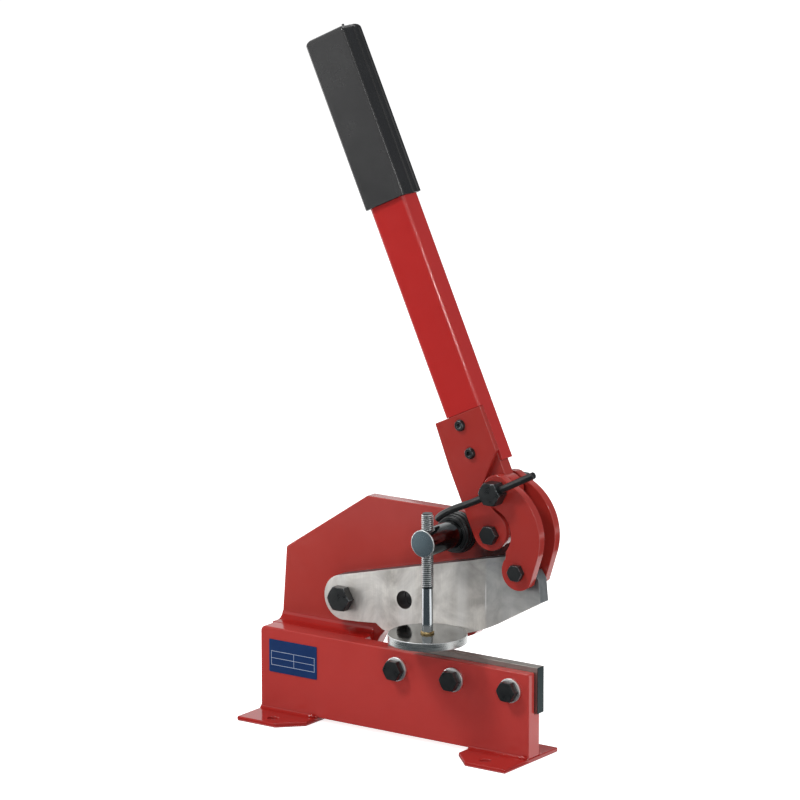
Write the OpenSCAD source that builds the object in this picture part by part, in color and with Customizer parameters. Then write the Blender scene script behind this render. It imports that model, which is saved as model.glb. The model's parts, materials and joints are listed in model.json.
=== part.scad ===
// Bench rod and sheet shear with a 150 mm blade, a long lever, C-shaped links and a screwed hold-down.
// Millimetres. X runs along the blades, Y from the front to the back, Z up from the bench.
// The origin is the centre of the four bench bolt holes, on the underside of the feet.

/* [Frame] */
// Length of the front beam
beam_len = 273.5; // [264:0.5:300]
// Thickness of the front beam, front to back
beam_thick = 16.4; // [15.6:0.1:18]
// Height of the beam's top above the bench
beam_top = 76; // [72:0.5:84]
// Thickness of the beam left in front of the lower blade
seat_wall = 8.8; // [8:0.1:9.6]
// Radius of the beam's top left corner
beam_corner_r = 4.5; // [2:0.5:8]
// Thickness of the rear plate
rear_plate_t = 12; // [10:0.5:15]
// Height of the rear plate's top edge above the beam
rear_plate_high = 119; // [116:0.5:121]
// Radius of the pivot arm's round end
arm_end_r = 13; // [11:0.5:14]
// Height of the web block that joins the beam to the rear plate
web_high = 14; // [10:1:20]
// Length of the web block
web_len = 96.5; // [85:0.5:98]

/* [Feet] */
// Width of a foot along the beam
foot_wide = 59; // [54:1:70]
// Length of a foot, front to back
foot_long = 78.4; // [70:0.2:90]
// Thickness of a foot
foot_thick = 4; // [3:0.5:6]
// How far a foot stands out in front of the beam
foot_front = 34.3; // [30:0.1:38]
// Cut on the inner front corner of a foot
foot_cut = 19; // [10:1:22]
// Diameter of the bench bolt holes
foot_hole_d = 9; // [8:0.5:11]
// Distance of the bench bolt holes from the beam's ends
foot_hole_in = 28.5; // [22:0.5:36]
// Bench bolt hole spacing, front to back
foot_hole_gap = 52; // [46:1:56]

/* [Lower blade] */
// Length of the lower blade
low_blade_len = 150; // [140:1:155]
// Thickness of the lower blade
low_blade_t = 9.2; // [8.5:0.1:10]
// Height of the lower blade
low_blade_high = 39; // [34:1:42]
// How far the lower blade's top stands above the beam
low_blade_proud = 4; // [3:0.5:5]
// How far the lower blade runs past the beam's right end
low_blade_past = 3; // [0:0.2:4]
// Spacing of the three lower blade bolts
low_bolt_gap = 57; // [52:0.5:60]
// Distance of the last bolt from the beam's right end
low_bolt_end = 18; // [14:0.2:24]
// Depth of the bolts below the beam's top
low_bolt_down = 16.1; // [14:0.1:20]

/* [Upper blade] */
// Thickness of the upper blade
up_blade_t = 12; // [11:0.5:12.5]
// How far the upper blade's tip stops short of the beam's right end
up_blade_short = 1; // [0:0.5:4]
// Radius of the upper blade's round end
up_blade_end_r = 19.5; // [17:0.5:21]
// Distance of the blade pivot from the beam's left end
blade_pivot_in = 73.5; // [68:0.5:76]
// Height of the blade pivot above the beam
blade_pivot_high = 31.3; // [30:0.1:34]
// Bolt diameter of the blade pivot
blade_pivot_d = 12.5; // [12:0.5:16]
// Diameter of the hole that crops round bar
crop_hole_d = 15; // [10:0.5:17]

/* [Lever] */
// Distance of the lever pivot from the beam's right end
lever_pivot_in = 47; // [44:0.5:50]
// Height of the lever pivot above the beam
lever_pivot_high = 108.2; // [107:0.1:110]
// Lean of the lever to the left at rest, in degrees
lever_lean = 24.6; // [20:0.1:28]
// Travel of the lever from rest, in degrees
lever_travel = 100; // [80:1:100]
// Width of the handle tube
tube_wide = 37; // [34:0.5:40]
// Wall of the handle tube
tube_wall = 2.5; // [2:0.1:3]
// Length of the handle tube
tube_len = 376; // [300:1:450]
// Length of the grip
grip_len = 148; // [110:0.5:180]
// Wall of the grip
grip_wall = 2.8; // [2:0.1:4]
// Thickness of the lever's cheek plate
cheek_t = 4.5; // [4:0.1:5]

/* [Links] */
// Thickness of a link
link_t = 8; // [6:0.5:9]
// Gap between a link and the upper blade
link_gap = 1.5; // [0.5:0.1:2]
// Radius of the link's end round the upper bolt
link_top_r = 14; // [13:0.5:15]
// Radius of the link's end round the lower bolt
link_foot_r = 15.5; // [13:0.5:16]
// Bolt diameter of the upper link bolt
link_top_d = 12; // [10:1:12]
// Bolt diameter of the lower link bolt
link_foot_d = 8; // [8:1:9]
// Diameter of the lock rod
lock_rod_d = 6; // [5:0.5:6.5]

/* [Hold-down] */
// Distance of the hold-down from the beam's right end
hold_in = 90; // [88:0.5:94]
// Height of the cross bar above the beam
hold_bar_high = 101.5; // [100:0.5:104]
// Diameter of the cross bar
hold_bar_d = 23; // [20:1:26]
// Diameter of the hold-down screw
hold_screw_d = 10; // [8:1:12]
// Length of the hold-down screw above its foot
hold_screw_len = 101.5; // [96:0.5:108]
// Diameter of the hold-down foot
hold_foot_d = 66; // [50:1:68]
// Thickness of the hold-down foot
hold_foot_t = 7; // [5:0.5:9]
// Height of the hold-down foot above the beam
hold_foot_high = 17.5; // [14:0.5:20]

/* [Hidden] */
$fn = 64;
// Overrun of every cut
over = 1;
// Radial clearance of a bolt in a hole that it turns in, and in one that it stays in
run_clear = 0.08;
stay_clear = 0.05;
// Side gap between the blades as they pass
shear_gap = 0.2;
// Gap between the upper blade and the rear plate
plate_gap = 0.6;
// Gap left between pieces that are fitted but not pressed together
fit_gap = 0.2;

// Hexagon sizes by bolt diameter: width across flats and head height as shares, nut height as a share
hex_share = 1.6;
head_share = 0.64;
nut_share = 0.8;
thread_past = 3;
washer_share = 2;
washer_t = 2;
hex_sides = 6;
hex_corner = 1 / cos(180 / hex_sides);
chamfer_deg = 30;

// Lower blade bolts
low_bolt_d = 10;
low_bolt_count = 3;
low_washer_d = 20.6;
low_bolt_past = 6;

// Lever pivot bolt
lever_pivot_d = 9;
// Lever screws: distance up from the pivot, offset across, sizes
screw_ups = [68.1, 92.4];
screw_across = 8.7;
screw_d = 6;
screw_head_d = 10;
screw_head_high = 2.8;
screw_socket_d = 4.2;
screw_socket_deep = 1.8;
screw_nut_high = 5;

// Play behind the core plate in the handle tube
core_play = 1.6;
// Lever plates, across and up from the lever pivot in the lever's own lean
tube_across = -3.1;
tube_up = 54;
cheek_up = 101.4;
cheek_left_low = -17;
cheek_left_high = -14.9;
cheek_bend_up = 62.8;
lever_end_up = 3.5;
cheek_end_r = 17;
core_end_r = 15.5;
core_pin_r = 13;
cheek_pin_r = 17;
// Upper link bolt, across and up from the lever pivot
pin_across = 23.7;
pin_up = 30.7;

// Lower link bolt from the lever pivot
foot_pin_dx = 29.3;
foot_pin_dz = -26.8;
// Centres of the link's inner and outer arcs from the lever pivot, and their radii
link_inner_at = [1.8, 2.8];
link_inner_r = 21;
link_outer_at = [3.7, 1.4];
link_outer_r = 47.3;
// Shares of the mean turns that the blade and the links are given, so that the bolt slides as far one way
// in its slot as the other
blade_share = 0.955;
link_share = 0.92;
// Running gap round the lower link bolt in the blade's slot
slot_gap = 0.5;

// Upper link bolt head, and the slope of the lock rod through it
pin_head_af = 18.5;
pin_head_high = 12;
lock_slope = 27;
lock_right = 46;
lock_left = 17.5;
lock_bend_dx = -41.5;
lock_bend_dz = -19.6;
lock_end_dx = -1.5;
// The rod swells a little at its bends
lock_bend_extra = 0.4;

// Distance of the lever pivot above the upper blade's top edge, which sets that edge's slope
lever_over_blade = 19.9;
// Upper blade outline, as shares of its reach from the blade pivot
blade_top_share = 0.972;
blade_right_shares = [[0.99, 0.2188], [1, 0.1243]];
blade_edge_shares = [[0.758, -0.0118], [0.6127, -0.082], [0.4467, -0.0996], [0.2183, -0.1122]];
blade_heel_shares = [[0.2027, -0.1082], [0.188, -0.0986], [0.1695, -0.086], [0.083, -0.0936]];
// Place of the cropping hole, as shares of the blade's reach
crop_shares = [0.3166, 0.0368];

// Rear plate outline: left edge, shoulder, top and the throat below the blade
plate_lean = 4.8;
shoulder_high = 62;
shoulder_r = 3;
slope_end_in = 89.5;
// Throat points as shares of the lever pivot's distance from the left end, and of the plate's height
throat_shares = [
    [1.004, 0.622], [0.951, 0.303], [0.898, 0.176], [0.875, 0.13], [0.841, 0.101],
    [0.522, 0.096], [0.484, 0.06], [0.452, -0.01], [0.4204, -0.118]
];
// Weld fillet on the ledge
ledge_weld = 7;
foot_weld = 5;
foot_weld_front = 3.5;

// Label plate on the beam's front
label_wide = 50;
label_high = 28.6;
label_t = 0.5;
label_in = 9.2;
label_down = 10.2;
label_r = 1;

// Hold-down
hold_screw_in = 7.4;
hold_shank_d = 9.2;
hold_thread_len = 63;
hold_foot_gap = 0.5;
hold_spigot_d = 16;
// Steps of the collar: how far each stands out from the cross bar, and how long it is
collar_walls = [6, 5, 5.6, 4, 4.6, 3];
collar_steps = [3.2, 1, 2.6, 1, 2.6, 1.9];
braze_d = 12;
braze_high = 3;

// Places that follow from the sizes above
left_x = -beam_len / 2;
right_x = beam_len / 2;
beam_front = foot_front - foot_long / 2;
beam_back = beam_front + beam_thick;
seat_y = beam_front + seat_wall;
shear_y = seat_y + low_blade_t;
up_blade_y = shear_y + shear_gap;
mid_y = up_blade_y + up_blade_t / 2;
rear_plate_y = up_blade_y + up_blade_t + plate_gap;
rear_plate_back = rear_plate_y + rear_plate_t;
low_blade_top = beam_top + low_blade_proud;
rear_plate_top = beam_top + rear_plate_high;
up_blade_reach = beam_len - blade_pivot_in - up_blade_short;
core_t = up_blade_t;
tube_deep = cheek_t + core_t + core_play + tube_wall;
link_space = up_blade_t + 2 * link_gap;
blade_pivot = [left_x + blade_pivot_in, beam_top + blade_pivot_high];
lever_pivot = [right_x - lever_pivot_in, beam_top + lever_pivot_high];
pivot_line = lever_pivot - blade_pivot;
up_blade_slope = atan2(pivot_line.y, pivot_line.x) - asin((up_blade_end_r + lever_over_blade) / norm(pivot_line));
foot_pin = lever_pivot + [foot_pin_dx, foot_pin_dz];
top_pin = lever_pivot + turned([pin_across, pin_up], -lever_lean);
core_y = mid_y - core_t / 2;
cheek_y = core_y - cheek_t;
front_link_y = mid_y - link_space / 2 - link_t;
rear_link_y = mid_y + link_space / 2;
link_back = rear_link_y + link_t;
hold_at = [right_x - hold_in, beam_top + hold_bar_high];
hold_screw_y = up_blade_y - hold_foot_gap - hold_foot_d / 2;
hold_bar_front_y = hold_screw_y - hold_screw_in;
crop_at = blade_pivot + up_blade_reach * crop_shares;
low_bolt_z = beam_top - low_bolt_down;
tube_back = cheek_y + tube_deep;
grip_up = tube_up + tube_len - grip_len + grip_wall;

// A point turned clockwise about the origin, as seen from the front
function turned(p, a) = [p.x * cos(a) + p.y * sin(a), p.y * cos(a) - p.x * sin(a)];
// A point at a distance and an angle, counter-clockwise from the right
function polar(r, a) = [r * cos(a), r * sin(a)];
// Points along an arc
function arc(at, r, a, b, steps = 12) = [for (i = [0:steps]) at + polar(r, a + (b - a) * i / steps)];
// Points along a cubic curve with four handles
function curve(p, steps = 14) = [for (i = [0:steps]) let (t = i / steps, u = 1 - t)
    u * u * u * p[0] + 3 * u * u * t * p[1] + 3 * u * t * t * p[2] + t * t * t * p[3]];

// Turn clockwise from one arm to another
function turn_to(a, b) = atan2(a.y, a.x) - atan2(b.y, b.x);

// Lower end of the links at full travel, where the circles about the blade pivot and the upper bolt cross
top_pin_end = lever_pivot + turned(top_pin - lever_pivot, lever_travel);
blade_arm = norm(foot_pin - blade_pivot);
link_arm = norm(foot_pin - top_pin);
pin_span = norm(top_pin_end - blade_pivot);
arm_turn = acos((blade_arm * blade_arm + pin_span * pin_span - link_arm * link_arm) / (2 * blade_arm * pin_span));
foot_pin_end = blade_pivot
    + polar(blade_arm, atan2(top_pin_end.y - blade_pivot.y, top_pin_end.x - blade_pivot.x) - arm_turn);
// Turn of the upper blade, and of the links in the lever, for each degree of lever travel
blade_ratio = blade_share * turn_to(foot_pin - blade_pivot, foot_pin_end - blade_pivot) / lever_travel;
link_ratio = link_share * (turn_to(foot_pin - top_pin, foot_pin_end - top_pin_end) / lever_travel - 1);

// Where the lower link bolt lies in the upper blade at a lever angle, from its place at rest. The links
// and the blade follow the lever at constant rates, so the bolt slides a little in the blade's slot.
function slip(t) = let (
        on_links = lever_pivot + turned(top_pin - lever_pivot, t) + turned(foot_pin - top_pin, t * (1 + link_ratio)),
        on_blade = blade_pivot + turned(foot_pin - blade_pivot, t * blade_ratio))
    turned(on_links - on_blade, -t * blade_ratio);
slips = [for (t = [0:lever_travel / 20:lever_travel]) slip(t)];
far_slip = slips[11];
slot_along = far_slip / norm(far_slip);
slot_side = [-slot_along.y, slot_along.x];
alongs = [for (p = slips) p * slot_along];
sides = [for (p = slips) p * slot_side];
slot_mid_side = (max(sides) + min(sides)) / 2;
slot_r = link_foot_d / 2 + (max(sides) - min(sides)) / 2 + slot_gap;
slot_ends = [for (a = [min(alongs), max(alongs)]) foot_pin + a * slot_along + slot_mid_side * slot_side];

RED = [0.66, 0.14, 0.13];
STEEL = [0.66, 0.65, 0.63];
BLACK = [0.13, 0.13, 0.13];
CHROME = [0.75, 0.77, 0.78];
ZINC = [0.8, 0.8, 0.78];
GRIP = [0.16, 0.16, 0.17];
BRASS = [0.78, 0.62, 0.3];
BLUE = [0.1, 0.18, 0.36];

// A flat outline in X and Z, made a plate of thickness t whose front face is at y
module plate(y, t) translate([0, y + t, 0]) rotate([90, 0, 0]) linear_extrude(height = t) children();

// A round bar along Y
module bar_y(at, y, d, len) translate([at.x, y, at.y]) rotate([-90, 0, 0]) cylinder(d = d, h = len);

// A round cut along Y, past both faces
module bore_y(at, y, d, len) bar_y(at, y - over, d, len + 2 * over);

// A hexagon along Y with its outer corners turned down, on one face or on both
module hex_y(at, y, af, high, back = false, drill = 0) {
    wide = af * hex_corner;
    fall = (wide - af) / 2 * tan(chamfer_deg);
    translate([at.x, y, at.y]) rotate([-90, 0, 0]) difference() {
        intersection() {
            cylinder(d = wide, h = high, $fn = hex_sides);
            rotate_extrude() polygon([
                [0, 0], [af / 2, 0], [wide / 2, fall], [wide / 2, high - (back ? fall : 0)],
                [af / 2 + (back ? 0 : (wide - af) / 2), high], [0, high]
            ]);
        }
        if (drill > 0) translate([0, 0, -over]) cylinder(d = drill, h = high + 2 * over);
    }
}

// A hexagon bolt along Y whose head seats at y
module bolt_y(at, y, d, len, af, head) {
    hex_y(at, y - head, af, head);
    bar_y(at, y, d, len);
}

// A washer along Y whose front face is at y
module washer_y(at, y, d, bore, t) difference() {
    bar_y(at, y, d, t);
    bore_y(at, y, bore, t);
}

// Moves a piece drawn across and up from the lever pivot into the lever's lean at rest
module in_lever() translate([lever_pivot.x, 0, lever_pivot.y]) rotate([0, -lever_lean, 0]) children();

// A box section along Z in the lever's own axes, with rounded corners
module section(x, y, wide, deep, r) translate([x, y]) polygon(concat(
    arc([wide - r, deep - r], r, 0, 90, 6), arc([r, deep - r], r, 90, 180, 6),
    arc([r, r], r, 180, 270, 6), arc([wide - r, r], r, 270, 360, 6)
));

function low_bolts() = [for (i = [0:low_bolt_count - 1])
    [right_x - low_bolt_end - i * low_bolt_gap, low_bolt_z]];

module front_beam() color(RED) difference() {
    plate(beam_front, beam_thick) polygon(concat(
        [[left_x, foot_thick], [right_x, foot_thick], [right_x, beam_top]],
        arc([left_x + beam_corner_r, beam_top - beam_corner_r], beam_corner_r, 90, 180, 8)
    ));
    // Rabbet for the lower blade
    translate([right_x + low_blade_past - low_blade_len - fit_gap, seat_y, low_blade_top - low_blade_high])
        cube([low_blade_len + over, beam_thick, low_blade_high]);
    for (p = low_bolts()) bore_y(p, beam_front, low_bolt_d + 2 * stay_clear, seat_wall);
}

module web_block() color(RED) union() {
    depth = rear_plate_y - beam_back;
    translate([left_x, beam_back, beam_top - web_high]) cube([web_len, depth, web_high]);
    // Weld fillet between the ledge and the rear plate
    translate([left_x, rear_plate_y, beam_top]) rotate([90, 0, 90]) linear_extrude(height = web_len)
        polygon(concat([[0, 0]], arc([-ledge_weld, ledge_weld], ledge_weld, 0, -90, 8)));
}

module rear_plate() color(RED) difference() {
    throat = [lever_pivot.x - left_x, rear_plate_high];
    top_turn = asin((rear_plate_top - lever_pivot.y) / arm_end_r);
    shoulder = [left_x + plate_lean + shoulder_r, beam_top + shoulder_high];
    plate(rear_plate_y, rear_plate_t) polygon(concat(
        [[left_x, beam_top - web_high], [left_x, beam_top]],
        arc(shoulder, shoulder_r, 176, 124, 4),
        [[left_x + slope_end_in, rear_plate_top]],
        arc(lever_pivot, arm_end_r, 180 - top_turn, -60, 16),
        [for (s = throat_shares) [left_x + s.x * throat.x, beam_top + s.y * throat.y]]
    ));
    bore_y(blade_pivot, rear_plate_y, blade_pivot_d + 2 * stay_clear, rear_plate_t);
    bore_y(lever_pivot, rear_plate_y, lever_pivot_d + 2 * stay_clear, rear_plate_t);
    bore_y(crop_at, rear_plate_y, crop_hole_d, rear_plate_t);
    bore_y(hold_at, rear_plate_y, hold_spigot_d + 2 * stay_clear, rear_plate_t);
}

// A foot with its outer edge at x = 0 and its inner edge at foot_wide, for the left end
module foot() difference() {
    translate([0, -foot_long / 2, 0]) linear_extrude(height = foot_thick)
        polygon([[0, 0], [foot_wide - foot_cut, 0], [foot_wide, foot_cut], [foot_wide, foot_long], [0, foot_long]]);
    for (side = [-1, 1])
        translate([foot_hole_in, side * foot_hole_gap / 2, -over])
            cylinder(d = foot_hole_d, h = foot_thick + 2 * over);
}

module left_foot() color(RED) translate([left_x, 0, 0]) foot();

module right_foot() color(RED) mirror([1, 0, 0]) translate([left_x, 0, 0]) foot();

// Fillet welds behind and in front of the beam, on each foot
module foot_welds() color(RED) for (x = [left_x, right_x - foot_wide]) translate([x, 0, foot_thick])
    rotate([90, 0, 90]) linear_extrude(height = foot_wide) {
        polygon([[beam_back, 0], [beam_back + foot_weld, 0], [beam_back, foot_weld]]);
        polygon([[beam_front, 0], [beam_front, foot_weld_front], [beam_front - foot_weld_front, 0]]);
    }

module label_plate() color(BLUE)
    translate([left_x + label_in, beam_front, beam_top - label_down - label_high]) rotate([90, 0, 0])
        linear_extrude(height = label_t) section(0, 0, label_wide, label_high, label_r);

module lower_blade() color(STEEL) difference() {
    translate([right_x + low_blade_past - low_blade_len, seat_y, low_blade_top - low_blade_high])
        cube([low_blade_len, low_blade_t, low_blade_high]);
    for (p = low_bolts()) bore_y(p, seat_y, low_bolt_d + 2 * stay_clear, low_blade_t);
}

module lower_blade_washers() color(ZINC) for (p = low_bolts())
    washer_y(p, beam_front - washer_t, low_washer_d, low_bolt_d + 2 * stay_clear, washer_t);

module lower_blade_bolts() color(BLACK) for (p = low_bolts())
    bolt_y(p, beam_front - washer_t, low_bolt_d, washer_t + seat_wall + low_bolt_past,
        low_bolt_d * hex_share, low_bolt_d * head_share);

module upper_blade() color(STEEL) difference() {
    top_corner = blade_pivot + polar(up_blade_end_r, 90 + up_blade_slope)
        + polar(blade_top_share * up_blade_reach, up_blade_slope);
    plate(up_blade_y, up_blade_t) polygon(concat(
        arc(blade_pivot, up_blade_end_r, 90 + up_blade_slope, 270, 24),
        [for (i = [3:-1:0]) blade_pivot + up_blade_reach * blade_heel_shares[i]],
        [for (i = [14:-1:0]) curve(blade_edge_shares)[i] * up_blade_reach + blade_pivot],
        [for (i = [1:-1:0]) blade_pivot + up_blade_reach * blade_right_shares[i]],
        [top_corner]
    ));
    bore_y(blade_pivot, up_blade_y, blade_pivot_d + 2 * run_clear, up_blade_t);
    bore_y(crop_at, up_blade_y, crop_hole_d, up_blade_t);
    // Slot for the lower link bolt
    slot_turn = atan2(slot_along.y, slot_along.x);
    plate(up_blade_y - over, up_blade_t + 2 * over) polygon(concat(
        arc(slot_ends[0], slot_r, slot_turn + 90, slot_turn + 270, 24),
        arc(slot_ends[1], slot_r, slot_turn - 90, slot_turn + 90, 24)
    ));
}

module blade_pivot_bolt() color(BLACK)
    bolt_y(blade_pivot, up_blade_y - fit_gap, blade_pivot_d,
        fit_gap + rear_plate_back + washer_t - up_blade_y + blade_pivot_d * nut_share + thread_past,
        blade_pivot_d * hex_share, blade_pivot_d * head_share);

module blade_pivot_washer() color(ZINC) washer_y(blade_pivot, rear_plate_back,
    blade_pivot_d * washer_share, blade_pivot_d + 2 * stay_clear, washer_t);

module blade_pivot_nut() color(BLACK) hex_y(blade_pivot, rear_plate_back + washer_t,
    blade_pivot_d * hex_share, blade_pivot_d * nut_share, true, blade_pivot_d + 2 * stay_clear);

// Outline of the cheek, across and up from the lever pivot
module cheek_outline() polygon(concat(
    arc([0, lever_end_up], cheek_end_r, 180, 400, 24),
    arc([pin_across, pin_up], cheek_pin_r, 205, 140, 6),
    [[tube_across + tube_wide, cheek_bend_up], [tube_across + tube_wide, cheek_up], [cheek_left_high, cheek_up],
        [cheek_left_low, cheek_bend_up]]
));

module lever_cheek() color(RED) difference() {
    in_lever() plate(cheek_y, cheek_t) cheek_outline();
    bore_y(lever_pivot, cheek_y, lever_pivot_d + 2 * run_clear, cheek_t);
    in_lever() for (up = screw_ups) bore_y([screw_across, up], cheek_y, screw_d + 2 * stay_clear, cheek_t);
}

// Outline of the core, which narrows to fit inside the handle tube
module core_outline() polygon(concat(
    arc([0, lever_end_up], core_end_r, 180, 340, 20),
    arc([pin_across, pin_up], core_pin_r, -50, 55, 10),
    [[tube_across + tube_wide - tube_wall - fit_gap, cheek_up], [tube_across + tube_wall + fit_gap, cheek_up],
        [tube_across + tube_wall + fit_gap, tube_up - fit_gap], [cheek_left_low, tube_up - fit_gap]]
));

module lever_core() color(RED) difference() {
    in_lever() plate(core_y, core_t) core_outline();
    bore_y(lever_pivot, core_y, lever_pivot_d + 2 * run_clear, core_t);
    bore_y(top_pin, core_y, link_top_d + 2 * run_clear, core_t);
    in_lever() for (up = screw_ups) bore_y([screw_across, up], core_y, screw_d + 2 * stay_clear, core_t);
}

module handle_tube() color(RED) in_lever() difference() {
    translate([0, 0, tube_up]) linear_extrude(height = tube_len) difference() {
        section(tube_across, cheek_y, tube_wide, tube_deep, tube_wall);
        section(tube_across + tube_wall, cheek_y + tube_wall, tube_wide - 2 * tube_wall, tube_deep - 2 * tube_wall,
            tube_wall / 2);
    }
    // The front is cut away where the cheek is let in
    translate([tube_across - over, cheek_y - over, tube_up - over])
        cube([tube_wide + 2 * over, cheek_t + over, cheek_up + fit_gap - tube_up + over]);
    for (up = screw_ups) bore_y([screw_across, up], cheek_y, screw_d + 2 * stay_clear, tube_deep);
}

module handle_grip() color(GRIP) in_lever() difference() {
    translate([0, 0, grip_up]) linear_extrude(height = grip_len)
        section(tube_across - grip_wall, cheek_y - grip_wall, tube_wide + 2 * grip_wall, tube_deep + 2 * grip_wall,
            tube_wall + grip_wall);
    translate([0, 0, grip_up - over]) linear_extrude(height = tube_up + tube_len + fit_gap - grip_up + over)
        section(tube_across - stay_clear, cheek_y - stay_clear, tube_wide + 2 * stay_clear,
            tube_deep + 2 * stay_clear, tube_wall);
}

module lever_screws() color(BLACK) in_lever() for (up = screw_ups) difference() {
    union() {
        bar_y([screw_across, up], cheek_y, screw_d, tube_deep + screw_nut_high + washer_t);
        translate([screw_across, cheek_y, up]) rotate([90, 0, 0])
            cylinder(d1 = screw_head_d, d2 = screw_head_d * nut_share, h = screw_head_high);
    }
    translate([screw_across, cheek_y - screw_head_high - over, up]) rotate([-90, 0, 0])
        cylinder(d = screw_socket_d, h = screw_socket_deep + over, $fn = hex_sides);
}

module lever_screw_nuts() color(BLACK) in_lever() for (up = screw_ups)
    hex_y([screw_across, up], tube_back, screw_d * hex_share, screw_nut_high, true, screw_d + 2 * stay_clear);

module lever_pivot_bolt() color(BLACK)
    bolt_y(lever_pivot, cheek_y - fit_gap, lever_pivot_d,
        fit_gap + rear_plate_back + washer_t - cheek_y + lever_pivot_d * nut_share + thread_past,
        lever_pivot_d * hex_share, lever_pivot_d * head_share);

module lever_pivot_washer() color(ZINC) washer_y(lever_pivot, rear_plate_back,
    lever_pivot_d * washer_share, lever_pivot_d + 2 * stay_clear, washer_t);

module lever_pivot_nut() color(BLACK) hex_y(lever_pivot, rear_plate_back + washer_t,
    lever_pivot_d * hex_share, lever_pivot_d * nut_share, true, lever_pivot_d + 2 * stay_clear);

// The C-shaped link, round the upper bolt, behind the lever pivot and round the lower bolt
module link(y) color(RED) difference() {
    plate(y, link_t) polygon(concat(
        arc(lever_pivot + link_outer_at, link_outer_r, -20, 67, 20),
        arc(top_pin, link_top_r, 72, 265, 18),
        arc(lever_pivot + link_inner_at, link_inner_r, 72, -40, 18),
        arc(foot_pin, link_foot_r, 140, 320, 18)
    ));
    bore_y(top_pin, y, link_top_d + 2 * run_clear, link_t);
    bore_y(foot_pin, y, link_foot_d + 2 * stay_clear, link_t);
}

module front_link() link(front_link_y);

module rear_link() link(rear_link_y);

module link_lower_bolt() color(BLACK) bolt_y(foot_pin, front_link_y, link_foot_d,
    link_back - front_link_y + link_foot_d * nut_share + thread_past, link_foot_d * hex_share,
    link_foot_d * head_share);

module link_lower_nut() color(BLACK) hex_y(foot_pin, link_back, link_foot_d * hex_share,
    link_foot_d * nut_share, true, link_foot_d + 2 * stay_clear);

// Middle of the upper link bolt's head, where the lock rod goes through
pin_hole_y = front_link_y - fit_gap - pin_head_high / 2;

module link_upper_bolt() color(BLACK) difference() {
    bolt_y(top_pin, front_link_y - fit_gap, link_top_d,
        fit_gap + link_back + fit_gap - front_link_y + link_top_d * nut_share + thread_past,
        pin_head_af, pin_head_high);
    translate([top_pin.x, pin_hole_y, top_pin.y]) rotate([0, 90 - lock_slope, 0])
        cylinder(d = lock_rod_d + 2 * stay_clear, h = 2 * pin_head_af, center = true);
}

module link_upper_nut() color(BLACK) hex_y(top_pin, link_back + fit_gap, link_top_d * hex_share,
    link_top_d * nut_share, true, link_top_d + 2 * stay_clear);

// Lock rod, from where it rests on the cross bar through the bolt head to its right end
lock_end_dz = hold_bar_d / 2 + lock_rod_d / 2 + fit_gap;
lock_points = [
    hold_at + [lock_end_dx, lock_end_dz], top_pin + [lock_bend_dx, lock_bend_dz],
    top_pin - polar(lock_left, lock_slope), top_pin + polar(lock_right, lock_slope)
];

// Slope of each straight run
function slope(i) = atan2(lock_points[i + 1].y - lock_points[i].y, lock_points[i + 1].x - lock_points[i].x);

module lock_rod() color(BLACK) union() {
    for (i = [0:len(lock_points) - 2])
        translate([lock_points[i].x, pin_hole_y, lock_points[i].y]) rotate([0, 90 - slope(i), 0])
            cylinder(d = lock_rod_d, h = norm(lock_points[i + 1] - lock_points[i]));
    for (i = [1:len(lock_points) - 2])
        translate([lock_points[i].x, pin_hole_y, lock_points[i].y]) sphere(d = lock_rod_d + lock_bend_extra);
}

module hold_down_bar() color(CHROME) difference() {
    union() {
        bar_y(hold_at, hold_bar_front_y, hold_bar_d, rear_plate_y - hold_bar_front_y);
        bar_y(hold_at, rear_plate_y - over, hold_spigot_d,
            over + rear_plate_t + washer_t + hold_spigot_d * nut_share + thread_past);
    }
    translate([hold_at.x, hold_screw_y, hold_at.y])
        cylinder(d = hold_screw_d + 2 * run_clear, h = 2 * hold_bar_d, center = true);
}

// Height of the collar's steps added up to step i, from the rear plate forwards
function step_sum(i) = i == 0 ? 0 : collar_steps[i - 1] + step_sum(i - 1);

module hold_down_collar() color(BLACK) difference() {
    for (i = [0:len(collar_steps) - 1])
        bar_y(hold_at, rear_plate_y - step_sum(i + 1), hold_bar_d + 2 * collar_walls[i], collar_steps[i]);
    bore_y(hold_at, rear_plate_y - step_sum(len(collar_steps)), hold_bar_d + 2 * stay_clear,
        step_sum(len(collar_steps)));
}

module hold_down_washer() color(ZINC) washer_y(hold_at, rear_plate_back,
    hold_spigot_d * washer_share, hold_spigot_d + 2 * stay_clear, washer_t);

module hold_down_nut() color(BLACK) hex_y(hold_at, rear_plate_back + washer_t, hold_spigot_d * hex_share,
    hold_spigot_d * nut_share, true, hold_spigot_d + 2 * stay_clear);

hold_foot_up = beam_top + hold_foot_high;
hold_foot_top = hold_foot_up + hold_foot_t;

module hold_down_screw() color(CHROME) translate([hold_at.x, hold_screw_y, hold_foot_top]) {
    cylinder(d = hold_shank_d, h = hold_screw_len - hold_thread_len);
    translate([0, 0, hold_screw_len - hold_thread_len]) cylinder(d = hold_screw_d, h = hold_thread_len);
}

module hold_down_braze() color(BRASS) translate([hold_at.x, hold_screw_y, hold_foot_top]) difference() {
    cylinder(d1 = braze_d, d2 = hold_shank_d + braze_high / 2, h = braze_high);
    translate([0, 0, -over]) cylinder(d = hold_shank_d + 2 * stay_clear, h = braze_high + 2 * over);
}

module hold_down_foot() color(CHROME) translate([hold_at.x, hold_screw_y, hold_foot_up])
    cylinder(d = hold_foot_d, h = hold_foot_t);

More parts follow.
